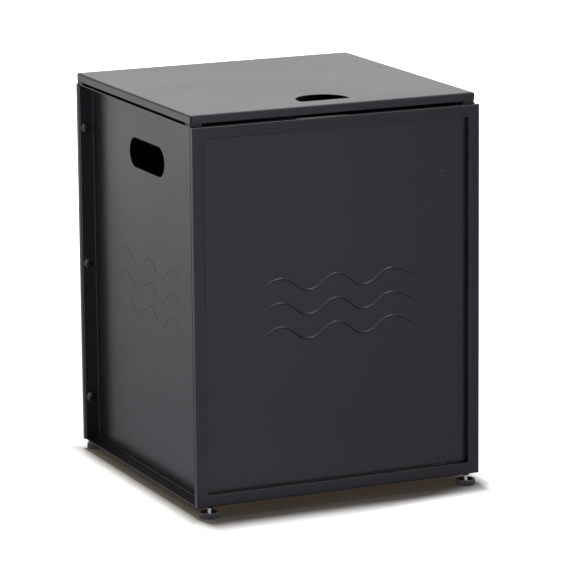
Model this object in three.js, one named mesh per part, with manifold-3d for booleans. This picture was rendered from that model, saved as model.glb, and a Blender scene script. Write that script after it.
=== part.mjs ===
// Propane tank cover table: a square steel cabinet on levelling feet that hides a gas bottle.
// Two welded tube frames with sheet panels make the front and the back. Two flanged sheet trays make
// the sides, each with a carrying slot, and screw to the posts of the frames. The bottom is open, so
// the cabinet is lowered over the bottle. A loose sheet lid with a finger hole is the table top.
// Lengths are millimetres. X runs to the right, Y to the back and Z up. The origin is on the floor,
// under the middle of the cabinet.

import * as THREE from 'three';
import { mergeVertices, toCreasedNormals } from 'three/addons/utils/BufferGeometryUtils.js';
import Module from 'manifold-3d';

const wasm = await Module();
wasm.setup();

// Cabinet, over the two frames
const cabinetWidth = 406;
const cabinetDepth = 406;
const frameHeight = 496;
const groundClearance = 14.5;

// Rectangular tube of the frames
const tubeFace = 16;
const tubeDepth = 10;
const tubeWall = 1.2;
const tubeCornerRadius = 1.5;

// Sheet metal
const panelSheet = 1.2;
const traySheet = 1.2;
const lidSheet = 1;
const stiffenerSheet = 1.2;
const bendRadius = 1.4;
const bendLap = 4;
const bendSeam = 0.25;

// Side trays, set in behind the outer plane of the frames
const sideRecess = 20;
const trayEdgeSetback = 0.8;
const trayCornerClip = 2;
const handleLength = 120;
const handleHeight = 40;
const handleDrop = 70.8;

// Hose outlet in the back panel
const hoseOutletLength = 100;
const hoseOutletHeight = 50;
const hoseOutletRise = 70;

// Lid, which has play on the cabinet and lies over to the left and a little to the back
const lidSideInset = 2;
const lidEndInset = 7;
const lidSkirt = 11;
const lidGap = 4;
const lidPlay = 2.8;
const lidLeftPlay = 0.8;
const lidBackPlay = 2;
const lidCornerClip = 0.5;
const fingerHoleWidth = 70;
const fingerHoleDepth = 45;
const fingerHoleCorner = 3;
const fingerHoleSetback = 33.5;
const fingerHoleShift = 3.2;
const stiffenerDrop = 8;
const stiffenerFlange = 16;
const padSide = 14;
const padCornerRadius = 2;

// Screws that hold the trays, and their threaded inserts in the posts
const screwDiameter = 6;
const screwHeadDiameter = 12.5;
const screwHeadHeight = 3.2;
const screwHeadRim = 0.7;
const screwTipRoom = 1;
const screwEndDistance = 60.5;
const screwsPerPost = 3;
const insertHeadThickness = 0.8;
const insertHeadLip = 1.4;
const postInsertWall = 1.1;
const postInsertEndRoom = 0.8;

// Levelling feet, and their threaded inserts in the bottom rails
const footInset = 18;
const footBaseDiameter = 26;
const footBaseHeight = 7;
const footBaseChamfer = 0.8;
const footRibs = 20;
const footRibDepth = 0.7;
const footRibShares = [0, 0.5, 0.62, 0.88];
const footHubDiameter = 9.6;
const footHubHeight = 1.5;
const footFloor = 2.3;
const studDiameter = 5;
const studTipChamfer = 0.7;
const studHeadroom = 6.8;
const footInsertWall = 0.6;
const footInsertLength = 9;

// Clearance between pieces that touch, and overrun of every cut
const seat = 0.3;
const overrun = 5;

// Facets of round forms
const bendFacets = 4;
const slotFacets = 8;
const roundFacets = 12;
const domeFacets = 3;

const quarterTurn = Math.PI / 2;
const halfTurn = Math.PI;

// Heights and distances worked out from the sizes
const frameTop = groundClearance + frameHeight;
const frameMiddle = groundClearance + frameHeight / 2;
const framePlane = cabinetDepth / 2 - tubeDepth;
const holeClearance = 2 * seat;
const trayStandoff = insertHeadThickness + 2 * seat;
const trayLength = 2 * (framePlane - trayStandoff);
const trayDepth = sideRecess + traySheet - trayEdgeSetback;
const trayPlane = cabinetWidth / 2 - sideRecess - traySheet;
const screwX = cabinetWidth / 2 - tubeFace / 2;
const screwSeat = trayStandoff + traySheet + seat;
const screwSpan = frameHeight - 2 * screwEndDistance;
const screwHeights = Array.from({ length: screwsPerPost },
  (_, i) => (i / (screwsPerPost - 1) - 1 / 2) * screwSpan);
const postInsertDiameter = screwDiameter + holeClearance + 2 * postInsertWall;
const postInsertLength = tubeDepth - tubeWall - postInsertEndRoom;
const footInsertDiameter = studDiameter + holeClearance + 2 * footInsertWall;
const footX = cabinetWidth / 2 - footInset;
const footY = cabinetDepth / 2 - tubeDepth / 2;
const lidWidth = cabinetWidth - 2 * lidSideInset;
const lidDepth = cabinetDepth - 2 * lidEndInset;
const lidX = lidLeftPlay - lidPlay;
const lidY = lidPlay - lidBackPlay;
const lidTop = frameTop + lidGap + lidSkirt;
const lidCeiling = lidTop - lidSheet - seat;

// Finishes

const blackPaint = () => new THREE.MeshStandardMaterial({
  color: 0x1c1c20, roughness: 0.45, metalness: 0.3,
});
const zincPlate = () => new THREE.MeshStandardMaterial({
  color: 0xb9bdbf, roughness: 0.35, metalness: 1,
});
const blackPlastic = () => new THREE.MeshStandardMaterial({
  color: 0x17171a, roughness: 0.6, metalness: 0,
});
const blackRubber = () => new THREE.MeshStandardMaterial({
  color: 0x1a1a1b, roughness: 0.85, metalness: 0,
});

// Solids that can be joined and cut

function solidOf(geometry) {
  const bare = geometry.clone();
  bare.deleteAttribute('normal');
  bare.deleteAttribute('uv');
  const welded = mergeVertices(bare);
  return new wasm.Manifold(new wasm.Mesh({
    numProp: 3,
    vertProperties: Float32Array.from(welded.attributes.position.array),
    triVerts: Uint32Array.from(welded.index.array),
  }));
}

function part(name, solid, material) {
  const { vertProperties, triVerts } = solid.getMesh();
  const geometry = new THREE.BufferGeometry();
  geometry.setAttribute('position', new THREE.BufferAttribute(vertProperties, 3));
  geometry.setIndex(new THREE.BufferAttribute(triVerts, 1));
  const mesh = new THREE.Mesh(toCreasedNormals(geometry), material);
  mesh.name = name;
  return mesh;
}

function join(solids) {
  return solids.reduce((whole, piece) => whole.add(piece));
}

function cut(solid, tools) {
  return tools.reduce((rest, tool) => rest.subtract(tool), solid);
}

function extruded(shape, depth, curveSegments = bendFacets) {
  return new THREE.ExtrudeGeometry(shape, { depth, curveSegments, bevelEnabled: false });
}

// A turned piece: its points are radius and height, and its axis is Z
function turned(points, facets = roundFacets) {
  const profile = points.map(([radius, height]) => new THREE.Vector2(radius, height));
  return solidOf(new THREE.LatheGeometry(profile, facets).rotateX(quarterTurn));
}

// A round bar that starts in the origin and runs up Z
function bar(diameter, length) {
  return turned([[0, 0], [diameter / 2, 0], [diameter / 2, length], [0, length]]);
}

// Outlines

function box(outline, x0, y0, x1, y1) {
  outline.moveTo(x0, y0);
  outline.lineTo(x1, y0);
  outline.lineTo(x1, y1);
  outline.lineTo(x0, y1);
  outline.closePath();
  return outline;
}

function roundedBox(width, height, radius) {
  const outline = new THREE.Shape();
  outline.absarc(width - radius, radius, radius, -quarterTurn, 0);
  outline.absarc(width - radius, height - radius, radius, 0, quarterTurn);
  outline.absarc(radius, height - radius, radius, quarterTurn, halfTurn);
  outline.absarc(radius, radius, radius, halfTurn, halfTurn + quarterTurn);
  outline.closePath();
  return outline;
}

// A slot with round ends, level, with its middle above or below the origin
function slot(length, height, middleY) {
  const radius = height / 2;
  const middleX = length / 2 - radius;
  const outline = new THREE.Path();
  outline.absarc(middleX, middleY, radius, -quarterTurn, quarterTurn);
  outline.absarc(-middleX, middleY, radius, quarterTurn, halfTurn + quarterTurn);
  outline.closePath();
  return outline;
}

// The finger hole as the upturned lid has it: straight towards the front, a half disc behind
function fingerHole() {
  const radius = fingerHoleWidth / 2;
  const right = fingerHoleShift + radius;
  const left = fingerHoleShift - radius;
  const front = lidDepth / 2 - fingerHoleSetback;
  const corner = fingerHoleCorner;
  const outline = new THREE.Path();
  outline.absarc(fingerHoleShift, front - fingerHoleDepth + radius, radius, -halfTurn, 0);
  outline.absarc(right - corner, front - corner, corner, 0, quarterTurn);
  outline.absarc(left + corner, front - corner, corner, quarterTurn, halfTurn);
  outline.closePath();
  return outline;
}

// Rings of four sides with mitred corners

// One side lies along X. Its profile has x across the side, in from the ring's outer edge, and y up.
// Each end is drawn back by x, for the mitre, and by a further amount that may depend on y.
function mitredSide(profile, length, drawback) {
  const side = extruded(profile, length);
  const place = side.attributes.position;
  for (let i = 0; i < place.count; i += 1) {
    const across = place.getX(i);
    const up = place.getY(i);
    const end = Math.sign(place.getZ(i) - length / 2);
    place.setXYZ(i, end * (length / 2 - across - drawback(up)), across, up);
  }
  return side;
}

// Where the near, right, far and left side of a ring go
function ringPlaces(width, height) {
  return [
    { turn: 0, x: 0, y: -height / 2, length: width },
    { turn: quarterTurn, x: width / 2, y: 0, length: height },
    { turn: halfTurn, x: 0, y: height / 2, length: width },
    { turn: -quarterTurn, x: -width / 2, y: 0, length: height },
  ];
}

// A cabinet side is laid out flat: x is its width, y its height from the middle, and z faces out of
// the cabinet. This stands it up at its distance from the middle, turned about Z from the front.
function standing(turn, distance, pieces) {
  const upright = new THREE.Group();
  upright.add(...pieces);
  upright.rotation.x = quarterTurn;
  upright.position.set(0, -distance, frameMiddle);
  const side = new THREE.Group();
  side.add(upright);
  side.rotation.z = turn;
  return side;
}

// Front and back: a frame of hollow tube, its panel and the fasteners in its posts

function tube(length) {
  const profile = roundedBox(tubeFace, tubeDepth, tubeCornerRadius);
  const hollow = box(new THREE.Path(), tubeWall, tubeWall, tubeFace - tubeWall, tubeDepth - tubeWall);
  profile.holes.push(hollow);
  return solidOf(mitredSide(profile, length, () => seat / 2));
}

function post() {
  const hole = bar(postInsertDiameter + holeClearance, overrun + postInsertLength + seat);
  return cut(tube(frameHeight),
    screwHeights.map((height) => hole.translate(height, tubeFace / 2, -overrun)));
}

function bottomRail() {
  const hole = solidOf(new THREE.CylinderGeometry(
    (footInsertDiameter + holeClearance) / 2, (footInsertDiameter + holeClearance) / 2,
    2 * (footInsertLength + seat), roundFacets));
  return cut(tube(cabinetWidth), [-footX, footX].map((x) => hole.translate(x, 0, tubeDepth / 2)));
}

function frameMembers(prefix, [leftName, rightName]) {
  const members = [
    part(`${prefix}_frame_bottom_rail`, bottomRail(), blackPaint()),
    part(`${prefix}_frame_${rightName}_post`, post(), blackPaint()),
    part(`${prefix}_frame_top_rail`, tube(cabinetWidth), blackPaint()),
    part(`${prefix}_frame_${leftName}_post`, post(), blackPaint()),
  ];
  for (const [i, { turn, x, y }] of ringPlaces(cabinetWidth, frameHeight).entries()) {
    members[i].rotation.z = turn;
    members[i].position.set(x, y, 0);
  }
  return members;
}

function panel(name, holes) {
  const halfWidth = cabinetWidth / 2 - tubeFace - seat;
  const halfHeight = frameHeight / 2 - tubeFace - seat;
  const outline = box(new THREE.Shape(), -halfWidth, -halfHeight, halfWidth, halfHeight);
  outline.holes.push(...holes);
  return part(name, solidOf(extruded(outline, panelSheet, slotFacets)), blackPaint());
}

// A truss head screw, with its seat in the origin and its shank up Z
function screw() {
  const rim = screwHeadDiameter / 2;
  const rise = screwHeadHeight - screwHeadRim;
  const domeRadius = (rim ** 2 + rise ** 2) / (2 * rise);
  const dome = Array.from({ length: domeFacets }, (_, i) => {
    const radius = rim * i / domeFacets;
    return [radius, domeRadius - screwHeadHeight - Math.sqrt(domeRadius ** 2 - radius ** 2)];
  });
  const shank = screwDiameter / 2;
  const length = screwSeat - seat + postInsertLength - screwTipRoom;
  return turned([...dome, [rim, -screwHeadRim], [rim, 0], [shank, 0], [shank, length], [0, length]]);
}

// A threaded insert, with the seat of its head in the origin and its body up Z
function insert(boreDiameter, bodyDiameter, length) {
  const bore = boreDiameter / 2;
  const body = bodyDiameter / 2;
  const head = body + insertHeadLip;
  return turned([[bore, -insertHeadThickness], [head, -insertHeadThickness], [head, 0], [body, 0],
    [body, length], [bore, length], [bore, -insertHeadThickness]]);
}

function postFasteners(prefix, sideName, x) {
  const pieces = [];
  for (const [i, height] of screwHeights.entries()) {
    const name = `${prefix}_${sideName}`;
    const postScrew = part(`${name}_screw_${i + 1}`, screw(), blackPaint());
    const postInsert = part(`${name}_post_insert_${i + 1}`,
      insert(screwDiameter + holeClearance, postInsertDiameter, postInsertLength), zincPlate());
    postScrew.position.set(x, height, -screwSeat);
    postInsert.position.set(x, height, -seat);
    pieces.push(postScrew, postInsert);
  }
  return pieces;
}

function framedSide(prefix, turn, sideNames, panelHoles) {
  return standing(turn, framePlane, [
    ...frameMembers(prefix, sideNames),
    panel(`${prefix}_panel`, panelHoles),
    ...postFasteners(prefix, sideNames[0], -screwX),
    ...postFasteners(prefix, sideNames[1], screwX),
  ]);
}

// Pans of bent sheet: a plate with a flange up each edge, open at the corners by a narrow seam

function bentProfile(sheet, depth, clip) {
  const outer = bendRadius + sheet;
  const profile = new THREE.Shape();
  profile.moveTo(outer + bendLap, 0);
  profile.lineTo(outer + bendLap, sheet);
  profile.absarc(outer, outer, bendRadius, -quarterTurn, -halfTurn, true);
  profile.lineTo(sheet, depth - clip);
  profile.lineTo(sheet, depth);
  profile.lineTo(0, depth);
  profile.lineTo(0, depth - clip);
  profile.absarc(outer, outer, outer, halfTurn, halfTurn + quarterTurn);
  profile.closePath();
  return profile;
}

// The flanges' free corners are clipped at 45 degrees
function pan(width, height, depth, sheet, clip, holes) {
  const outer = bendRadius + sheet;
  const plate = box(new THREE.Shape(), outer - width / 2, outer - height / 2,
    width / 2 - outer, height / 2 - outer);
  plate.holes.push(...holes);
  const profile = bentProfile(sheet, depth, clip);
  const drawback = (up) => bendSeam + Math.max(0, up - (depth - clip));
  const sides = ringPlaces(width, height).map(({ turn, x, y, length }) =>
    solidOf(mitredSide(profile, length, drawback).rotateZ(turn).translate(x, y, 0)));
  return join([solidOf(extruded(plate, sheet, slotFacets)), ...sides]);
}

// A side tray, whose front and back flanges have the screw holes
function sideTray(name, turn) {
  const handle = slot(handleLength, handleHeight, frameHeight / 2 - handleDrop);
  const tray = pan(trayLength, frameHeight, trayDepth, traySheet, trayCornerClip, [handle]);
  const hole = solidOf(new THREE.CylinderGeometry(
    (screwDiameter + holeClearance) / 2, (screwDiameter + holeClearance) / 2,
    trayLength + 2 * overrun, roundFacets).rotateZ(quarterTurn));
  const holes = screwHeights.map((height) => hole.translate(0, height, screwX - trayPlane));
  return standing(turn, trayPlane, [part(name, cut(tray, holes), blackPaint())]);
}

// Levelling feet: a ribbed plastic base on a threaded stud, and the insert that the stud turns in

function footBase() {
  const ridge = footBaseDiameter / 2;
  const valley = ridge - footRibDepth;
  const radii = [ridge, ridge, valley, valley];
  const outline = [];
  for (let i = 0; i < footRibs; i += 1) {
    for (const [j, share] of footRibShares.entries()) {
      const angle = (i + share) / footRibs * 2 * Math.PI;
      outline.push(new THREE.Vector2(radii[j] * Math.cos(angle), radii[j] * Math.sin(angle)));
    }
  }
  const ribbed = solidOf(extruded(new THREE.Shape(outline), footBaseHeight));
  const edge = ridge - footBaseChamfer;
  const chamfers = turned([[0, 0], [edge, 0], [edge + footBaseHeight / 2, footBaseHeight / 2],
    [edge, footBaseHeight], [0, footBaseHeight]], footRibs);
  const hubTop = footBaseHeight + footHubHeight;
  const hub = bar(footHubDiameter, hubTop - footFloor).translate(0, 0, footFloor);
  const bore = bar(studDiameter + holeClearance, hubTop).translate(0, 0, footFloor);
  return cut(join([ribbed.intersect(chamfers), hub]), [bore]);
}

function footStud() {
  const radius = studDiameter / 2;
  const bottom = footFloor + seat;
  const top = groundClearance + tubeFace - tubeWall - studHeadroom;
  return turned([[0, bottom], [radius, bottom], [radius, top - studTipChamfer],
    [radius - studTipChamfer, top], [0, top]]);
}

function levellingFoot(name, x, y) {
  const base = part(`${name}_foot_base`, footBase(), blackPlastic());
  const stud = part(`${name}_foot_stud`, footStud(), zincPlate());
  const sleeve = part(`${name}_foot_insert`,
    insert(studDiameter + holeClearance, footInsertDiameter, footInsertLength), zincPlate());
  sleeve.position.z = groundClearance - seat;
  const foot = new THREE.Group();
  foot.add(base, stud, sleeve);
  foot.position.set(x, y, 0);
  return foot;
}

// Lid: a shallow pan turned over, two stiffeners that keep it in place, and a pad in each corner

function lidTray() {
  const tray = pan(lidWidth, lidDepth, lidSkirt, lidSheet, lidCornerClip, [fingerHole()]);
  const mesh = part('lid_tray', tray, blackPaint());
  mesh.rotation.x = halfTurn;
  mesh.position.z = lidTop;
  return mesh;
}

// A channel along the lid, with its web outwards. It hangs inside the side trays and the frames.
function lidStiffener(name, side) {
  const height = lidCeiling - (frameTop - stiffenerDrop);
  const outer = bendRadius + stiffenerSheet;
  const inner = height - stiffenerSheet;
  const profile = new THREE.Shape();
  profile.moveTo(stiffenerFlange, 0);
  profile.lineTo(stiffenerFlange, stiffenerSheet);
  profile.absarc(outer, outer, bendRadius, -quarterTurn, -halfTurn, true);
  profile.absarc(outer, height - outer, bendRadius, halfTurn, quarterTurn, true);
  profile.lineTo(stiffenerFlange, inner);
  profile.lineTo(stiffenerFlange, height);
  profile.absarc(outer, height - outer, outer, quarterTurn, halfTurn);
  profile.absarc(outer, outer, outer, halfTurn, halfTurn + quarterTurn);
  profile.closePath();
  const length = 2 * (framePlane - lidPlay);
  const channel = extruded(profile, length).translate(0, 0, -length / 2).rotateX(quarterTurn);
  const mesh = part(name, solidOf(channel), blackPaint());
  mesh.rotation.z = side > 0 ? halfTurn : 0;
  mesh.position.set(side * (trayPlane - lidPlay), 0, frameTop - stiffenerDrop);
  return mesh;
}

function lidPad(name, sideX, sideY) {
  const height = lidCeiling - (frameTop + seat);
  const block = extruded(roundedBox(padSide, padSide, padCornerRadius), height);
  block.translate(-padSide / 2, -padSide / 2, 0);
  const inset = lidSheet + bendRadius + padSide / 2;
  const mesh = part(name, solidOf(block), blackRubber());
  mesh.position.set(sideX * (lidWidth / 2 - inset), sideY * (lidDepth / 2 - inset), frameTop + seat);
  return mesh;
}

// The whole table

const table = new THREE.Group();
const lid = new THREE.Group();
table.add(
  framedSide('front', 0, ['left', 'right'], []),
  framedSide('back', halfTurn, ['right', 'left'],
    [slot(hoseOutletLength, hoseOutletHeight, hoseOutletRise - frameHeight / 2)]),
  sideTray('left_side_panel', -quarterTurn),
  sideTray('right_side_panel', quarterTurn),
  lid,
);
lid.add(lidTray(), lidStiffener('lid_left_stiffener', -1), lidStiffener('lid_right_stiffener', 1));
lid.position.set(lidX, lidY, 0);
for (const [sideName, sideX] of [['left', -1], ['right', 1]]) {
  for (const [endName, sideY] of [['front', -1], ['back', 1]]) {
    const corner = `${endName}_${sideName}`;
    lid.add(lidPad(`lid_${corner}_pad`, sideX, sideY));
    table.add(levellingFoot(corner, sideX * footX, sideY * footY));
  }
}

export default table;
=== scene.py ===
import math

import bmesh
import bpy
from mathutils import Matrix


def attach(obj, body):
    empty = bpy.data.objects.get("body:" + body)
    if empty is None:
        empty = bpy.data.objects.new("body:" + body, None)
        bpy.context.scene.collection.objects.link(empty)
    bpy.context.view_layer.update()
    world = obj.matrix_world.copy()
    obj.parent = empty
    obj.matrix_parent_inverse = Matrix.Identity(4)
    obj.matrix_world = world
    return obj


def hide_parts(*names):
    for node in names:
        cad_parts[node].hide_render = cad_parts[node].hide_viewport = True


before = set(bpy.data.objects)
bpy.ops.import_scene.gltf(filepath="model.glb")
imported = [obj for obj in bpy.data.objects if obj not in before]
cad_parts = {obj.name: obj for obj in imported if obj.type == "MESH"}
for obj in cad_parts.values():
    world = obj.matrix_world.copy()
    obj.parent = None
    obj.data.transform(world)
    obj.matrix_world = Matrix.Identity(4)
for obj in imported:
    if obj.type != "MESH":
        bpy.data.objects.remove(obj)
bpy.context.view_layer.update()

# View: a long lens from above the lid's height, in front of the table and to its left.
# It leans half a degree to the left.
azimuth = math.radians(-24.207)
elevation = math.radians(12.259)
lean = math.radians(-0.525)

turned = (Matrix.Rotation(azimuth, 3, "Z")
          @ Matrix.Rotation(math.pi / 2 - elevation, 3, "X")
          @ Matrix.Rotation(lean, 3, "Z"))
bpy.ops.object.camera_add(location=(-2.0078, -4.5066, 1.3179), rotation=turned.to_euler())
view = bpy.context.object
view.name = "view"
view.data.lens = 235.09
view.data.sensor_width = 36
view.data.clip_end = 200
bpy.context.scene.camera = view
bpy.context.scene.view_settings.view_transform = "Standard"

# Studio: a seamless white sweep, open to white walls on all sides, under one soft overhead lamp.
# The lamp hangs high, a little behind the table, so that a short shadow falls to the front. In the
# table's gloss the sweep is a painted grey, a painted reflection that fades along and across the
# view and is darkest near the table. Its shadow is painted as a warm glow.
into_view = (-0.407, 0.913, 0)
across_view = (0.913, 0.407, 0)
front_right = (0.35, -1, 0)
# Painted reflection: the sweep's greys as the gloss sees them, darkest near the table.
painted_reflection_greys = (
    (0, (0.66, 0.65, 0.78)), (0.40, (0.48, 0.47, 0.57)), (0.44, (0.62, 0.61, 0.72)),
    (0.50, (0.36, 0.35, 0.40)), (0.56, (0.32, 0.31, 0.34)), (0.86, (0.53, 0.515, 0.55)),
    (0.95, (0.61, 0.60, 0.64)), (1, (1, 1, 1)))
# Painted shadow: the warm glow the sweep gives off in its shadow, lighter beside the table.
painted_shadow_glow = (0.036, 0.028, 0.0215)
painted_glow_at_sides = (0.115, 0.103, 0.080)
white = (1, 1, 1)


def new_finish(name):
    """A new material, its node tree and its shader."""
    material = bpy.data.materials.new(name)
    material.use_nodes = True
    return material, material.node_tree, material.node_tree.nodes["Principled BSDF"]


def reach(tree, point, direction):
    """How far a point lies along a direction."""
    node = tree.nodes.new("ShaderNodeVectorMath")
    node.operation = "DOT_PRODUCT"
    node.inputs[1].default_value = direction
    tree.links.new(point, node.inputs[0])
    return node.outputs["Value"]


def reckon(tree, operation, first, second):
    """One step of arithmetic on two values, each a number or another node's result."""
    node = tree.nodes.new("ShaderNodeMath")
    node.operation = operation
    for socket, value in zip(node.inputs, (first, second)):
        if isinstance(value, (int, float)):
            socket.default_value = value
        else:
            tree.links.new(value, socket)
    return node.outputs["Value"]


def spread(tree, value, low, high, to_low=0, to_high=1, smooth=False):
    """Spreads a value's range from low to high over another range, and holds it at the ends."""
    node = tree.nodes.new("ShaderNodeMapRange")
    if smooth:
        node.interpolation_type = "SMOOTHSTEP"
    node.inputs["From Min"].default_value = low
    node.inputs["From Max"].default_value = high
    node.inputs["To Min"].default_value = to_low
    node.inputs["To Max"].default_value = to_high
    tree.links.new(value, node.inputs["Value"])
    return node.outputs["Result"]


def shades(tree, value, stops):
    """A colour that runs through the stops as a value goes from 0 to 1."""
    node = tree.nodes.new("ShaderNodeValToRGB")
    ramp = node.color_ramp.elements
    ramp[0].position = stops[0][0]
    ramp[1].position = stops[-1][0]
    for position, _ in stops[1:-1]:
        ramp.new(position)
    for stop, (_, colour) in zip(ramp, stops):
        stop.color = (*colour, 1)
    tree.links.new(value, node.inputs["Fac"])
    return node.outputs["Color"]


def blend(tree, share, first, second):
    """A colour between two, each three numbers or another node's result."""
    node = tree.nodes.new("ShaderNodeMix")
    node.data_type = "RGBA"
    tree.links.new(share, node.inputs["Factor"])
    for socket, colour in (("A", first), ("B", second)):
        if isinstance(colour, tuple):
            node.inputs[socket].default_value = (*colour, 1)
        else:
            tree.links.new(colour, node.inputs[socket])
    return node.outputs["Result"]


bpy.ops.mesh.primitive_plane_add(size=80)
sweep = bpy.context.object
sweep.name = "sweep"
sweep_paper, tree, paper = new_finish("sweep_paper")
paper.inputs["Roughness"].default_value = 1
paper.inputs["Specular IOR Level"].default_value = 0

# Where a point of the sweep lies, and whether the camera sees it or the gloss does.
seen = tree.nodes.new("ShaderNodeLightPath").outputs["Is Camera Ray"]
spot = tree.nodes.new("ShaderNodeTexCoord").outputs["Object"]
unsigned = tree.nodes.new("ShaderNodeVectorMath")
unsigned.operation = "ABSOLUTE"
tree.links.new(spot, unsigned.inputs[0])
sideways = tree.nodes.new("ShaderNodeSeparateXYZ")
tree.links.new(unsigned.outputs["Vector"], sideways.inputs["Vector"])
outwards = reckon(tree, "MAXIMUM", sideways.outputs["X"], sideways.outputs["Y"])

# The paper's colour: painted greys in the gloss, a painted reflection of how its light falls off,
# and in view near white, with a painted shadow that darkens it under the table and just around it.
grey = shades(tree, spread(tree, reach(tree, spot, into_view), -2.4, 2.4), painted_reflection_greys)
painted_gloss_reflection = tree.nodes.new("ShaderNodeVectorMath")
painted_gloss_reflection.operation = "SCALE"
tree.links.new(grey, painted_gloss_reflection.inputs[0])
tree.links.new(spread(tree, reach(tree, spot, across_view), -0.5, 0.75, 1.25, 0.4),
               painted_gloss_reflection.inputs["Scale"])
# Painted shadow: in view the paper darkens under the table and just around its footprint.
painted_shadow_seen = spread(tree, outwards, 0.203, 0.227, 0.42, 0.95)
tree.links.new(blend(tree, seen, painted_gloss_reflection.outputs["Vector"], painted_shadow_seen), paper.inputs["Base Color"])

# What the paper gives off: in view a painted warm glow that sets its shadow's tone, lighter beside
# the table as painted light under its sides, white far off, and painted light beyond the table's
# front right corner that shortens the shadow there; to all other rays a faint grey glow, a painted
# fill light.
painted_side_leak = spread(tree, sideways.outputs["X"], 0.182, 0.208, smooth=True)
painted_shadow_tone = blend(tree, painted_side_leak, painted_shadow_glow, painted_glow_at_sides)
far_off = spread(tree, outwards, 0.8, 2.5)
# Painted light beyond the table's front right corner, that shortens the shadow there.
painted_corner_light = spread(tree, reach(tree, spot, front_right), 0.26, 0.33, 0, 0.65, smooth=True)
painted_glow_seen = blend(tree, reckon(tree, "MAXIMUM", far_off, painted_corner_light), painted_shadow_tone, white)
painted_glow = tree.nodes.new("ShaderNodeEmission")
# To all rays but the camera's the paper glows a faint grey, a painted fill light.
tree.links.new(blend(tree, seen, (0.10, 0.10, 0.10), painted_glow_seen), painted_glow.inputs["Color"])
both = tree.nodes.new("ShaderNodeAddShader")
tree.links.new(paper.outputs["BSDF"], both.inputs[0])
tree.links.new(painted_glow.outputs["Emission"], both.inputs[1])
tree.links.new(both.outputs["Shader"], tree.nodes["Material Output"].inputs["Surface"])
sweep.data.materials.append(sweep_paper)

walls = bpy.data.worlds.new("white_walls")
walls.use_nodes = True
bpy.context.scene.world = walls
tree = walls.node_tree
ray = tree.nodes.new("ShaderNodeLightPath")
shown = reckon(tree, "MAXIMUM", ray.outputs["Is Camera Ray"], ray.outputs["Is Glossy Ray"])
shown = reckon(tree, "MAXIMUM", shown, ray.outputs["Is Transmission Ray"])
background = tree.nodes["Background"]
background.inputs["Color"].default_value = (*white, 1)
tree.links.new(spread(tree, shown, 0, 1, 0.03, 1), background.inputs["Strength"])

bpy.ops.object.light_add(
    type="AREA", location=(-0.05, 2.2, 26), rotation=(math.radians(-4.8), 0, 0))
overhead = bpy.context.object
overhead.name = "overhead"
overhead.data.shape = "ELLIPSE"
overhead.data.size = 1.6
overhead.data.size_y = 2.6
overhead.data.energy = 7650
overhead.visible_glossy = False

# Flag: a small card hung inside the cabinet, under the finger hole, that only blocks light.
# It keeps the lamp's spot off the sweep.
bpy.ops.mesh.primitive_plane_add(size=0.1, location=(0.001, -0.142, 0.49))
flag = bpy.context.object
flag.name = "flag"
flag.visible_camera = False
flag.visible_glossy = False
flag.visible_diffuse = False
flag.visible_transmission = False

# Cards: two that show only in the table's gloss. One is a dim grey card behind it to the left, a
# painted dark reflection in the trays' bottom flanges; the other a softbox above it that draws
# light lines along the rounded upper edges.
for name, size, place, turn, tint, level in (
        ("dark_reflection_card", 4.4, (-3.44, 4.91, 1.2), (math.pi / 2, 0, math.radians(35)), white, 0.12),
        ("softbox", 3, (-0.2, 0.4, 3.2), (0, 0, 0), (0.85, 0.92, 1), 4)):
    bpy.ops.mesh.primitive_plane_add(size=size, location=place, rotation=turn)
    card = bpy.context.object
    card.name = name
    card.visible_camera = False
    card.visible_diffuse = False
    card.visible_shadow = False
    card.visible_transmission = False
    glow, tree, shader = new_finish(name)
    tree.nodes.remove(shader)
    light = tree.nodes.new("ShaderNodeEmission")
    light.inputs["Color"].default_value = (*tint, 1)
    light.inputs["Strength"].default_value = level
    tree.links.new(light.outputs["Emission"], tree.nodes["Material Output"].inputs["Surface"])
    card.data.materials.append(glow)

# Frames: rectangular steel tube 16 x 10 mm, mitred, welded into a ring and ground flush.
# One ring is the front of the cabinet and one the back. All the sheet and tube is powder coated
# in a near-black satin with a fine orange-peel grain and a few specks of dust.
ring_width = 0.406
ring_height = 0.496
ring_foot = 0.0145
ring_middle = ring_foot + ring_height / 2
ring_front = -0.203
tube_face = 0.016
tube_depth = 0.010
tube_corner = 0.0022
ring_rear = ring_front + tube_depth
post_line = 0.195
post_screws = (0.075, 0.2625, 0.45)
post_hole_radius = 0.0047
post_hole_depth = 0.0073
foot_x = 0.185
foot_y = 0.198
rail_hole_radius = 0.0037
rail_hole_depth = 0.0143
drill_length = 0.03
along_y = (math.pi / 2, 0, 0)
near_black = ((0.35, (0.0090, 0.0085, 0.0105)), (0.7, (0.0135, 0.0127, 0.0155)))
peel_grain = 700
peel_depth = 0.00004
cloud_grain = 9
dust_grain = 45
dust_size = 0.022
dust_rarity = 0.86
dust_grey = (0.45, 0.45, 0.47)


def put_down():
    """Leaves nothing selected, so that the next operator touches only its own piece."""
    bpy.ops.object.select_all(action="DESELECT")


def hold(piece):
    """Selects one piece alone, as the one to work on."""
    put_down()
    piece.select_set(True)
    bpy.context.view_layer.objects.active = piece


def take_up(name):
    """Names the new primitive and settles its place in its mesh."""
    piece = bpy.context.object
    piece.name = name
    bpy.ops.object.transform_apply(location=True, rotation=True, scale=True)
    return piece


def settle(piece, place, turn=(0, 0, 0)):
    """Turns a piece, sets it in its place, and settles both in its mesh."""
    piece.location = place
    piece.rotation_euler = turn
    hold(piece)
    bpy.ops.object.transform_apply(location=True, rotation=True, scale=True)


def copy_of(piece, name, place=(0, 0, 0), turn=0):
    """A copy of a piece with its own mesh, turned about Z and set in its place."""
    hold(piece)
    bpy.ops.object.duplicate()
    copy = bpy.context.object
    copy.name = name
    settle(copy, place, (0, 0, turn))
    return copy


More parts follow.
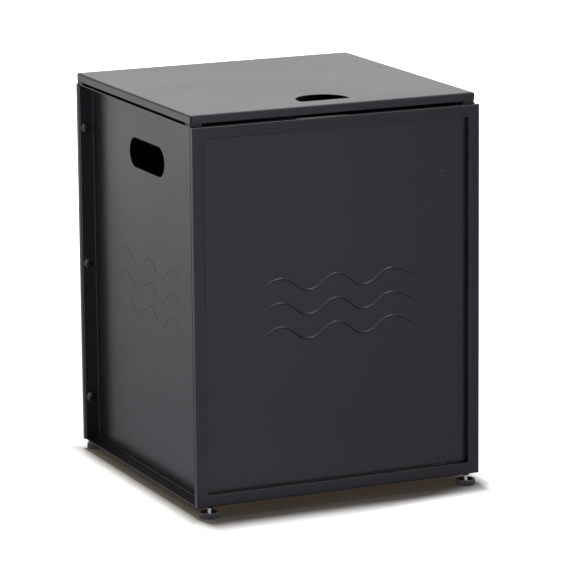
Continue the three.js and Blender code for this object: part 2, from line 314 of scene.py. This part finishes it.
def pick(kind, wanted):
    """In edit mode, selects the vertices, edges or faces that are wanted, and nothing else."""
    bpy.ops.mesh.select_mode(type=kind)
    bpy.ops.mesh.select_all(action="DESELECT")
    shape = bmesh.from_edit_mesh(bpy.context.object.data)
    for element in {"VERT": shape.verts, "EDGE": shape.edges, "FACE": shape.faces}[kind]:
        if wanted(element):
            element.select_set(True)
    bmesh.update_edit_mesh(bpy.context.object.data)


def cut_out(piece, cutter):
    """Cuts the cutter's shape out of a piece and throws the cutter away."""
    hold(piece)
    bpy.ops.object.modifier_add(type="BOOLEAN")
    cut = piece.modifiers[-1]
    cut.operation = "DIFFERENCE"
    cut.solver = "EXACT"
    cut.object = cutter
    bpy.ops.object.modifier_apply(modifier=cut.name)
    bpy.data.objects.remove(cutter)


def drill(piece, radius, place, turn=(0, 0, 0), length=drill_length):
    """Cuts a round hole about a place, along Z unless it is turned."""
    put_down()
    bpy.ops.mesh.primitive_cylinder_add(
        vertices=32, radius=radius, depth=length, location=place, rotation=turn)
    cut_out(piece, take_up("drill"))


def shade(piece):
    """Shades round faces smooth and flat faces flat."""
    hold(piece)
    bpy.ops.object.shade_smooth_by_angle(angle=math.radians(40))
    bpy.ops.object.modifier_add(type="WEIGHTED_NORMAL")
    weighted = piece.modifiers[-1]
    weighted.keep_sharp = True
    weighted.weight = 80
    bpy.ops.object.modifier_apply(modifier=weighted.name)
    put_down()


def grain(tree, scale, detail):
    """A fine random pattern through the piece."""
    place = tree.nodes.new("ShaderNodeTexCoord")
    noise = tree.nodes.new("ShaderNodeTexNoise")
    noise.inputs["Scale"].default_value = scale
    noise.inputs["Detail"].default_value = detail
    tree.links.new(place.outputs["Object"], noise.inputs["Vector"])
    return noise.outputs["Fac"]


def relief(tree, height, strength, depth):
    """Small bumps of a given depth in metres."""
    bumps = tree.nodes.new("ShaderNodeBump")
    bumps.inputs["Strength"].default_value = strength
    bumps.inputs["Distance"].default_value = depth
    tree.links.new(height, bumps.inputs["Height"])
    return bumps.outputs["Normal"]


def powder_coat(name, density, sheen):
    """Near-black satin powder coat: orange-peel grain, cloudy gloss and sparse dust."""
    coat, tree, shader = new_finish(name)
    shader.inputs["IOR"].default_value = density
    shader.inputs["Coat Weight"].default_value = sheen
    shader.inputs["Coat Roughness"].default_value = 0.2
    peel = grain(tree, peel_grain, 2)
    cloud = grain(tree, cloud_grain, 3)
    tree.links.new(relief(tree, peel, 0.35, peel_depth), shader.inputs["Normal"])
    tree.links.new(spread(tree, cloud, 0, 1, 0.29, 0.37), shader.inputs["Roughness"])

    place = tree.nodes.new("ShaderNodeTexCoord")
    scatter = tree.nodes.new("ShaderNodeTexVoronoi")
    scatter.inputs["Scale"].default_value = dust_grain
    tree.links.new(place.outputs["Object"], scatter.inputs["Vector"])
    draw = tree.nodes.new("ShaderNodeSeparateColor")
    tree.links.new(scatter.outputs["Color"], draw.inputs["Color"])
    near = reckon(tree, "LESS_THAN", scatter.outputs["Distance"], dust_size)
    rare = reckon(tree, "GREATER_THAN", draw.outputs["Red"], dust_rarity)
    dust = reckon(tree, "MULTIPLY", near, rare)
    black = shades(tree, peel, near_black)
    tree.links.new(blend(tree, dust, black, dust_grey), shader.inputs["Base Color"])
    return coat


def tube_ring():
    """The front ring: a plate with a window, long edges rounded as the tube's are."""
    put_down()
    bpy.ops.mesh.primitive_cube_add(
        size=1, location=(0, ring_front + tube_depth / 2, ring_middle),
        scale=(ring_width, tube_depth, ring_height))
    ring = take_up("front_frame")
    bpy.ops.object.mode_set(mode="EDIT")
    pick("FACE", lambda face: abs(face.normal.y) > 0.9)
    bpy.ops.mesh.inset(thickness=tube_face, depth=0, use_individual=True)
    inside = ring_width / 2 - tube_face + 0.001
    pick("FACE", lambda face: abs(face.normal.y) > 0.9
         and all(abs(vertex.co.x) < inside for vertex in face.verts))
    bpy.ops.mesh.bridge_edge_loops()

    def runs_along_tube(edge):
        start, end = [vertex.co for vertex in edge.verts]
        step = end - start
        return abs(step.y) < 1e-5 and (abs(step.x) < 1e-5 or abs(step.z) < 1e-5)

    pick("EDGE", runs_along_tube)
    bpy.ops.mesh.bevel(offset=tube_corner, segments=5, affect="EDGES")
    bpy.ops.object.mode_set(mode="OBJECT")
    for side in (-1, 1):
        drill(ring, rail_hole_radius,
              (side * foot_x, -foot_y, ring_foot + rail_hole_depth - drill_length / 2))
        for height in post_screws:
            drill(ring, post_hole_radius,
                  (side * post_line, ring_rear - post_hole_depth + drill_length / 2, height),
                  along_y)
    shade(ring)
    return ring


tube_coat = powder_coat("tube_powder_coat", 1.41, 0.12)
front_frame = tube_ring()
back_frame = copy_of(front_frame, "back_frame", turn=math.pi)
for ring, end in ((front_frame, "front"), (back_frame, "back")):
    ring.data.materials.clear()
    ring.data.materials.append(tube_coat)
    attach(ring, "cabinet")
    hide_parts(*[f"{end}_frame_{member}"
                        for member in ("bottom_rail", "top_rail", "left_post", "right_post")])

# Front and back panels: flat steel sheet, welded into the ring flush with its rear. The front one
# has three low beads pressed into it, as waves across its middle, and the back one a long slot
# near the floor for the gas hose. The coat is a little glossier on sheet than on tube.
panel_sheet = 0.0012
panel_width = ring_width - 2 * tube_face
panel_height = ring_height - 2 * tube_face
outlet_length = 0.100
outlet_height = 0.050
outlet_middle = 0.0845
bead_length = 0.236
bead_width = 0.0038
bead_root = 0.0006
bead_tip = 0.15
front_bead_rise = 0.0019
wave_points = 7
wave_height = 0.018
wave_pitch = 0.032


def flat_panel(name):
    """A sheet that fills the front ring's window."""
    put_down()
    bpy.ops.mesh.primitive_cube_add(
        size=1, location=(0, ring_rear - panel_sheet / 2, ring_middle),
        scale=(panel_width, panel_sheet, panel_height))
    return take_up(name)


def long_slot(length, height):
    """A cutter with round ends, lying along X through the origin and pointing along Y."""
    put_down()
    bpy.ops.mesh.primitive_cylinder_add(
        vertices=64, radius=height / 2, depth=0.06, rotation=along_y)
    cutter = take_up("slot_cutter")
    bpy.ops.object.mode_set(mode="EDIT")
    pick("VERT", lambda vertex: vertex.co.x > 1e-5)
    bpy.ops.transform.translate(value=(length - height, 0, 0))
    bpy.ops.mesh.select_all(action="SELECT")
    bpy.ops.transform.translate(value=((height - length) / 2, 0, 0))
    bpy.ops.object.mode_set(mode="OBJECT")
    return cutter


def wave_beads(rise):
    """Three waves of bead with a sharp crest, standing so far out of the plane y = 0."""
    beads = []
    for row in (-1, 0, 1):
        put_down()
        bpy.ops.curve.primitive_bezier_curve_add()
        bead = bpy.context.object
        bead.data.dimensions = "3D"
        bead.data.bevel_depth = bead_width / 2
        bead.data.bevel_resolution = 0
        bead.data.use_fill_caps = True
        bead.data.resolution_u = 14
        points = bead.data.splines[0].bezier_points
        points.add(wave_points - len(points))
        for i, point in enumerate(points):
            point.co = ((i / (wave_points - 1) - 0.5) * bead_length, 0,
                        row * wave_pitch + (i % 2 - 0.5) * wave_height)
            point.handle_left_type = point.handle_right_type = "AUTO"
            point.radius = bead_tip if i in (0, wave_points - 1) else 1
        bpy.ops.object.convert(target="MESH")
        beads.append(bpy.context.object)
    put_down()
    for bead in beads:
        bead.select_set(True)
    bpy.context.view_layer.objects.active = beads[0]
    bpy.ops.object.join()
    joined = take_up("beads")
    bpy.ops.object.mode_set(mode="EDIT")
    bpy.ops.mesh.select_all(action="SELECT")
    bpy.ops.transform.resize(value=(1, rise / (bead_width / 2), 1), center_override=(0, 0, 0))
    pick("VERT", lambda vertex: vertex.co.y > 1e-5)
    bpy.ops.transform.resize(value=(1, bead_root / rise, 1), center_override=(0, 0, 0))
    bpy.ops.object.mode_set(mode="OBJECT")
    return joined


def weld_on(piece, addition):
    """Makes an added shape part of a piece."""
    hold(piece)
    addition.select_set(True)
    bpy.ops.object.join()


sheet_coat = powder_coat("sheet_powder_coat", 1.43, 0.18)
front_panel = flat_panel("front_sheet")
shade(front_panel)
front_beads = wave_beads(front_bead_rise)
settle(front_beads, (0, ring_rear - panel_sheet, ring_middle))
shade(front_beads)
weld_on(front_panel, front_beads)

back_sheet = flat_panel("back_sheet")
outlet = long_slot(outlet_length, outlet_height)
settle(outlet, (0, ring_rear, outlet_middle))
cut_out(back_sheet, outlet)
shade(back_sheet)
back_panel = copy_of(back_sheet, "back_panel_sheet", turn=math.pi)
bpy.data.objects.remove(back_sheet)
for sheet, node in ((front_panel, "front_panel"), (back_panel, "back_panel")):
    sheet.data.materials.clear()
    sheet.data.materials.append(sheet_coat)
    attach(sheet, "cabinet")
    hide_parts(node)

# Side trays: sheet steel with a flange bent out along each edge, set in behind the posts.
# The flanges butt at the corners. A slot with round ends near the top is the carrying handle, and
# the same three waves are pressed across the middle as in front, but less deep.
tray_height = 0.496
tray_depth = 0.3832
tray_flange = 0.0204
tray_sheet = 0.0012
tray_bend = 0.0026
tray_clip = 0.002
tray_seam = 0.0005
tray_inside = -0.1818
tray_outside = tray_inside - tray_sheet
handle_length = 0.120
handle_height = 0.040
handle_middle = 0.4397
screw_hole_radius = 0.0033
side_bead_rise = 0.0006
sheet_edge = 0.00025


def middle(element):
    """The middle of an edge or face."""
    corners = [vertex.co for vertex in element.verts]
    return sum(corners[1:], corners[0].copy()) / len(corners)


def thicken(piece, sheet):
    """Gives a bent sheet its thickness, inwards from its outer faces."""
    bpy.ops.object.modifier_add(type="SOLIDIFY")
    wall = piece.modifiers[-1]
    wall.thickness = sheet
    wall.offset = -1
    wall.use_even_offset = True
    bpy.ops.object.modifier_apply(modifier=wall.name)


def round_edges(piece, width, segments=2):
    """Rounds the sharp edges, as the coat does, and shades the flats flat."""
    hold(piece)
    bpy.ops.object.modifier_add(type="BEVEL")
    bevel = piece.modifiers[-1]
    bevel.width = width
    bevel.segments = segments
    bevel.limit_method = "ANGLE"
    bevel.angle_limit = math.radians(50)
    bpy.ops.object.modifier_apply(modifier=bevel.name)
    shade(piece)


def bent_pan(name, width, depth, skirt, sheet, bend, clip, corner_gap):
    """A pan of bent sheet, upside down: its plate's outside is at z = 0 and its skirt hangs."""
    put_down()
    bpy.ops.mesh.primitive_cube_add(
        size=1, location=(0, 0, -skirt / 2), scale=(width, depth, skirt))
    pan = take_up(name)
    bpy.ops.object.mode_set(mode="EDIT")
    pick("FACE", lambda face: face.normal.z < -0.9)
    bpy.ops.mesh.delete(type="FACE")
    pick("EDGE", lambda edge: all(vertex.co.z > -1e-5 for vertex in edge.verts))
    bpy.ops.mesh.bevel(offset=bend, segments=6, affect="EDGES")

    seam = width / 2 - sheet - corner_gap
    for side in (-1, 1):
        pick("FACE", lambda face: abs(face.normal.y) > 0.999)
        bpy.ops.mesh.bisect(plane_co=(side * seam, 0, 0), plane_no=(1, 0, 0))
    pick("FACE", lambda face: abs(face.normal.y) > 0.999 and abs(middle(face).x) > seam)
    bpy.ops.mesh.delete(type="FACE")
    pick("VERT", lambda vertex: vertex.co.z < -skirt + 1e-5)
    bpy.ops.mesh.bevel(offset=clip, segments=3, affect="VERTICES")
    bpy.ops.object.mode_set(mode="OBJECT")
    thicken(pan, sheet)
    return pan


left_tray = bent_pan("left_tray", tray_height, tray_depth, tray_flange, tray_sheet, tray_bend,
                     tray_clip, tray_seam)
settle(left_tray, (tray_inside, 0, ring_middle), (0, math.pi / 2, 0))
handle = long_slot(handle_length, handle_height)
settle(handle, (tray_outside, 0, handle_middle), (0, 0, math.pi / 2))
cut_out(left_tray, handle)
for height in post_screws:
    drill(left_tray, screw_hole_radius, (-post_line, 0, height), along_y,
          tray_depth + drill_length)
round_edges(left_tray, sheet_edge)

side_beads = wave_beads(side_bead_rise)
settle(side_beads, (tray_outside, 0, ring_middle), (0, 0, -math.pi / 2))
shade(side_beads)
weld_on(left_tray, side_beads)
right_tray = copy_of(left_tray, "right_tray", turn=math.pi)
for tray, node in ((left_tray, "left_side_panel"), (right_tray, "right_side_panel")):
    tray.data.materials.clear()
    tray.data.materials.append(sheet_coat)
    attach(tray, "cabinet")
    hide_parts(node)

# Lid: a shallow pan of thin sheet, skirt down, with a half-round finger hole near the front.
# It lies loose on its pads, a little to the left and to the back of the cabinet.
lid_width = 0.402
lid_depth = 0.392
lid_skirt = 0.011
lid_sheet = 0.001
lid_bend = 0.0024
lid_clip = 0.0006
lid_seam = 0.0011
lid_edge = 0.0002
lid_x = -0.002
lid_y = 0.0008
lid_top = 0.5255
lid_underside = lid_top - lid_sheet
finger_x = 0.0012
finger_y = -0.1517
finger_radius = 0.035
finger_straight = 0.010
finger_corner = 0.003


def finger_cutter():
    """A half disc towards the back, and a short straight part with round corners in front."""
    put_down()
    bpy.ops.mesh.primitive_cylinder_add(
        vertices=96, radius=finger_radius, depth=0.04, location=(finger_x, finger_y, lid_top))
    cutter = take_up("finger_cutter")
    bpy.ops.object.mode_set(mode="EDIT")
    bpy.ops.mesh.select_all(action="SELECT")
    bpy.ops.mesh.bisect(plane_co=(0, finger_y, 0), plane_no=(0, 1, 0), clear_inner=True,
                        use_fill=True)
    pick("FACE", lambda face: face.normal.y < -0.9)
    bpy.ops.mesh.extrude_region_move(TRANSFORM_OT_translate={"value": (0, -finger_straight, 0)})
    front = finger_y - finger_straight
    pick("EDGE", lambda edge: all(vertex.co.y < front + 0.0001 for vertex in edge.verts)
         and abs(edge.verts[0].co.x - edge.verts[1].co.x) < 1e-5)
    bpy.ops.mesh.bevel(offset=finger_corner, segments=8, affect="EDGES")
    bpy.ops.object.mode_set(mode="OBJECT")
    return cutter


lid = bent_pan("lid_pan", lid_width, lid_depth, lid_skirt, lid_sheet, lid_bend, lid_clip, lid_seam)
settle(lid, (lid_x, lid_y, lid_top))
cut_out(lid, finger_cutter())
round_edges(lid, lid_edge)
lid.data.materials.clear()
lid.data.materials.append(sheet_coat)
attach(lid, "lid")
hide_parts("lid_tray")

# Lid stiffeners: two channels of bent sheet, welded under the lid along its sides, webs outwards.
# They hang inside the frames and the trays, and so keep the loose lid in its place.
channel_length = 0.3804
channel_flange = 0.016
channel_sheet = 0.0012
channel_bend = 0.0026
channel_low = 0.5025

for side, web, node in ((-1, -0.181, "lid_left_stiffener"), (1, 0.177, "lid_right_stiffener")):
    put_down()
    bpy.ops.mesh.primitive_cube_add(
        size=1, location=(web - side * channel_flange / 2, lid_y, (channel_low + lid_underside) / 2),
        scale=(channel_flange, channel_length, lid_underside - channel_low))
    channel = take_up(node.replace("stiffener", "channel"))
    bpy.ops.object.mode_set(mode="EDIT")
    pick("FACE", lambda face: face.normal.x * side < -0.9 or abs(face.normal.y) > 0.9)
    bpy.ops.mesh.delete(type="FACE")
    pick("EDGE", lambda edge: all(abs(vertex.co.x - web) < 1e-5 for vertex in edge.verts)
         and abs(edge.verts[0].co.z - edge.verts[1].co.z) < 1e-5)
    bpy.ops.mesh.bevel(offset=channel_bend, segments=5, affect="EDGES")
    bpy.ops.object.mode_set(mode="OBJECT")
    thicken(channel, channel_sheet)
    round_edges(channel, sheet_edge)
    channel.data.materials.clear()
    channel.data.materials.append(sheet_coat)
    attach(channel, "lid")
    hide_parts(node)

# Lid pads: moulded rubber blocks glued into the lid's corners, on which it rests on the frames.
# Below the lid's skirt each steps out as far as the skirt's outer face.
pad_side = 0.014
pad_low = ring_foot + ring_height
pad_step = 0.0021
pad_step_top = 0.5142
pad_edge = 0.0004
rubber_black = ((0, (0.014, 0.0135, 0.0165)), (1, (0.028, 0.027, 0.031)))

rubber, tree, shader = new_finish("black_rubber")
bloom = grain(tree, 260, 4)
tree.links.new(shades(tree, bloom, rubber_black), shader.inputs["Base Color"])
tree.links.new(spread(tree, bloom, 0, 1, 0.38, 0.55), shader.inputs["Roughness"])
tree.links.new(relief(tree, bloom, 0.3, 0.0001), shader.inputs["Normal"])

for end, way, pad_y in (("front", -1, -0.1858), ("back", 1, 0.1874)):
    for hand, side, pad_x in (("left", -1, -0.1936), ("right", 1, 0.1896)):
        put_down()
        bpy.ops.mesh.primitive_cube_add(
            size=1, location=(pad_x, pad_y, (pad_low + lid_underside) / 2),
            scale=(pad_side, pad_side, lid_underside - pad_low))
        pad = take_up(f"{end}_{hand}_pad")
        bpy.ops.object.mode_set(mode="EDIT")
        bpy.ops.mesh.select_all(action="SELECT")
        bpy.ops.mesh.bisect(plane_co=(0, 0, pad_step_top), plane_no=(0, 0, 1))
        pick("FACE", lambda face: face.normal.x * side > 0.9 and middle(face).z < pad_step_top)
        bpy.ops.mesh.extrude_region_move(TRANSFORM_OT_translate={"value": (side * pad_step, 0, 0)})
        pick("FACE", lambda face: face.normal.y * way > 0.9 and middle(face).z < pad_step_top)
        bpy.ops.mesh.extrude_region_move(TRANSFORM_OT_translate={"value": (0, way * pad_step, 0)})
        bpy.ops.object.mode_set(mode="OBJECT")
        round_edges(pad, pad_edge, 3)
        pad.data.materials.append(rubber)
        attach(pad, "lid")
        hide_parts(f"lid_{end}_{hand}_pad")

# Tray screws: black truss-head machine screws with a cross recess, three to a post.
# They go through the trays' flanges into threaded inserts pressed into the posts.
head_radius = 0.0066
head_rim = 0.0007
dome_steps = ((0.0005, 0.00062), (0.0007, 0.00058), (0.0010, 0.00052), (0.0013, 0.00042),
              (0.0015, 0.00023))
recess_span = 0.0074
recess_slot = 0.0016
recess_floor = 0.001
recess_top = 0.0044
shank_radius = 0.003
shank_length = 0.0096
flange_face = 0.1904
steel_black = ((0.45, (0.045, 0.045, 0.042)), (0.75, (0.17, 0.163, 0.145)))

black_steel, tree, shader = new_finish("black_screw_steel")
shader.inputs["Metallic"].default_value = 0.8
handling = grain(tree, 900, 3)
tree.links.new(shades(tree, handling, steel_black), shader.inputs["Base Color"])
tree.links.new(spread(tree, handling, 0, 1, 0.2, 0.36), shader.inputs["Roughness"])


def truss_screw():
    """A screw with its seat in the plane y = 0, its head towards +Y and its shank towards -Y."""
    put_down()
    bpy.ops.mesh.primitive_cylinder_add(
        vertices=48, radius=head_radius, depth=head_rim, rotation=along_y,
        location=(0, head_rim / 2, 0))
    screw = take_up("truss_screw")
    bpy.ops.object.mode_set(mode="EDIT")
    pick("FACE", lambda face: face.normal.y > 0.9)
    for inwards, upwards in dome_steps:
        bpy.ops.mesh.inset(thickness=inwards, depth=upwards)
    pick("FACE", lambda face: face.normal.y < -0.9)
    bpy.ops.mesh.inset(thickness=head_radius - shank_radius, depth=0)
    bpy.ops.mesh.extrude_region_move(TRANSFORM_OT_translate={"value": (0, -shank_length, 0)})
    bpy.ops.object.mode_set(mode="OBJECT")
    for turn in (0, math.pi / 2):
        put_down()
        bpy.ops.mesh.primitive_cube_add(
            size=1, location=(0, (recess_floor + recess_top) / 2, 0), rotation=(0, turn, 0),
            scale=(recess_span, recess_top - recess_floor, recess_slot))
        blade = take_up("driver_blade")
        bpy.ops.object.mode_set(mode="EDIT")
        pick("FACE", lambda face: face.normal.y < -0.9)
        bpy.ops.transform.resize(value=(0.5, 1, 0.5), center_override=(0, recess_floor, 0))
        bpy.ops.object.mode_set(mode="OBJECT")
        cut_out(screw, blade)
    shade(screw)
    return screw


screw_pattern = truss_screw()
screw_pattern.data.materials.append(black_steel)
for end, way, turn in (("front", -1, 0), ("back", 1, math.pi)):
    for hand, side in (("left", -1), ("right", 1)):
        for number, height in enumerate(post_screws, 1):
            screw = copy_of(screw_pattern, f"{end}_{hand}_truss_screw_{number}",
                            (side * post_line, way * flange_face, height), turn)
            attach(screw, "cabinet")
            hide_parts(f"{end}_{hand}_screw_{number}")
bpy.data.objects.remove(screw_pattern)

# Threaded inserts: zinc-plated steel, pressed into the posts and the bottom rails. Only the rims of
# their heads show, in the narrow gap behind each tray flange and over each foot, and their zinc is
# darkened to the shade of that gap: painted shade.


def zinc_finish(name, dark, light, smooth, dull):
    """Plated steel, mottled between two tones and between two roughnesses."""
    zinc, tree, shader = new_finish(name)
    shader.inputs["Metallic"].default_value = 1
    spangle = grain(tree, 420, 3)
    tree.links.new(shades(tree, spangle, ((0.3, dark), (0.7, light))), shader.inputs["Base Color"])
    tree.links.new(spread(tree, spangle, 0, 1, smooth, dull), shader.inputs["Roughness"])
    return zinc


# Painted shade: the inserts' zinc is darkened to the shade of the gaps they sit in.
zinc_darkened_as_shade = zinc_finish("zinc_darkened_as_shade", (0.035, 0.036, 0.036), (0.065, 0.066, 0.066), 0.35, 0.5)
for name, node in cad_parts.items():
    if "_insert" in name:
        node.data.materials.clear()
        node.data.materials.append(zinc_darkened_as_shade)

# Levelling feet: a moulded black plastic base with ribs for the fingers, on a threaded zinc stud.
# The base is a deep dish. The stud is moulded into it and screws into the insert in the rail above.
foot_radius = 0.013
foot_thickness = 0.0078
foot_edge = 0.0006
foot_ribs = 18
points_per_rib = 8
rib_depth = 0.0012
rib_groove = ((3, 0.6), (4, 1), (5, 1), (6, 1), (7, 0.6))
dish_radius = 0.0105
dish_floor = 0.0034
sole_radius = 0.0104
sole_depth = 0.0012
socket_floor = 0.0022
stud_radius = 0.0025
stud_room = 0.0002
stud_low = 0.0026
thread_pitch = 0.0008
thread_depth = 0.0003
thread_turns = 24
thread_profile = ((0, 0.1), (thread_depth, 0.35), (0, 0.15), (-thread_depth, 0.4))
plastic_black = ((0.35, (0.034, 0.032, 0.042)), (0.75, (0.066, 0.062, 0.078)))

plastic, tree, shader = new_finish("black_plastic")
shader.inputs["Specular IOR Level"].default_value = 1
shader.inputs["Roughness"].default_value = 0.45
spark = grain(tree, 1100, 2)
tree.links.new(shades(tree, spark, plastic_black), shader.inputs["Base Color"])
tree.links.new(relief(tree, spark, 0.3, 0.00005), shader.inputs["Normal"])


def ribbed_base():
    """The base under the origin's axis, standing on the floor."""
    around = foot_ribs * points_per_rib
    put_down()
    bpy.ops.mesh.primitive_cylinder_add(
        vertices=around, radius=foot_radius, depth=foot_thickness,
        location=(0, 0, foot_thickness / 2))
    base = take_up("ribbed_base")

    def step_in_rib(vertex):
        turn = math.atan2(vertex.co.y, vertex.co.x) / (2 * math.pi) % 1
        return round(turn * around) % points_per_rib

    bpy.ops.object.mode_set(mode="EDIT")
    for step, share in rib_groove:
        pick("VERT", lambda vertex: step_in_rib(vertex) == step)
        inwards = 1 - share * rib_depth / foot_radius
        bpy.ops.transform.resize(value=(inwards, inwards, 1), center_override=(0, 0, 0))
    pick("EDGE", lambda edge: abs(edge.verts[0].co.z - edge.verts[1].co.z) < 1e-5)
    bpy.ops.mesh.bevel(offset=foot_edge, segments=3, affect="EDGES")
    bpy.ops.object.mode_set(mode="OBJECT")
    for radius, low, high in ((dish_radius, dish_floor, 0.02), (sole_radius, -0.01, sole_depth),
                              (stud_radius + stud_room, socket_floor, 0.02)):
        put_down()
        bpy.ops.mesh.primitive_cylinder_add(
            vertices=64, radius=radius, depth=high - low, location=(0, 0, (low + high) / 2))
        cut_out(base, take_up("hollow"))
    shade(base)
    return base


def threaded_stud():
    """A stud on the origin's axis: one turn of thread, wound up along it."""
    put_down()
    bpy.ops.mesh.primitive_plane_add(
        size=0.001, location=(stud_radius - thread_depth, 0, stud_low))
    stud = take_up("threaded_stud")
    bpy.ops.object.mode_set(mode="EDIT")
    pick("VERT", lambda vertex: True)
    bpy.ops.mesh.merge(type="CENTER")
    for outwards, upwards in thread_profile:
        bpy.ops.mesh.extrude_vertices_move(
            TRANSFORM_OT_translate={"value": (outwards, 0, upwards * thread_pitch)})
    bpy.ops.object.mode_set(mode="OBJECT")
    bpy.ops.object.modifier_add(type="SCREW")
    winding = stud.modifiers[-1]
    winding.axis = "Z"
    winding.screw_offset = thread_pitch
    winding.iterations = thread_turns
    winding.steps = 20
    winding.render_steps = 20
    winding.use_merge_vertices = True
    winding.merge_threshold = 0.00001
    bpy.ops.object.modifier_apply(modifier=winding.name)
    bpy.ops.object.mode_set(mode="EDIT")
    bpy.ops.mesh.select_all(action="SELECT")
    bpy.ops.mesh.remove_doubles(threshold=0.00001)
    bpy.ops.mesh.select_mode(type="EDGE")
    bpy.ops.mesh.select_all(action="DESELECT")
    bpy.ops.mesh.select_non_manifold()
    bpy.ops.mesh.fill_holes(sides=0)
    bpy.ops.mesh.select_all(action="SELECT")
    bpy.ops.mesh.normals_make_consistent(inside=False)
    bpy.ops.object.mode_set(mode="OBJECT")
    shade(stud)
    return stud


base_pattern = ribbed_base()
base_pattern.data.materials.append(plastic)
stud_pattern = threaded_stud()
bright_zinc = zinc_finish("bright_zinc", (0.66, 0.72, 0.72), (0.86, 0.90, 0.90), 0.45, 0.6)
stud_pattern.data.materials.append(bright_zinc)
for end, way in (("front", -1), ("back", 1)):
    for hand, side in (("left", -1), ("right", 1)):
        foot = f"{end}_{hand}_foot"
        place = (side * foot_x, way * foot_y, 0)
        base = copy_of(base_pattern, f"{foot}_ribbed_base", place)
        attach(base, foot)
        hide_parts(f"{foot}_base")
        stud = copy_of(stud_pattern, f"{foot}_threaded_stud", place)
        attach(stud, foot)
        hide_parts(f"{foot}_stud")
bpy.data.objects.remove(base_pattern)
bpy.data.objects.remove(stud_pattern)

bpy.context.view_layer.update()
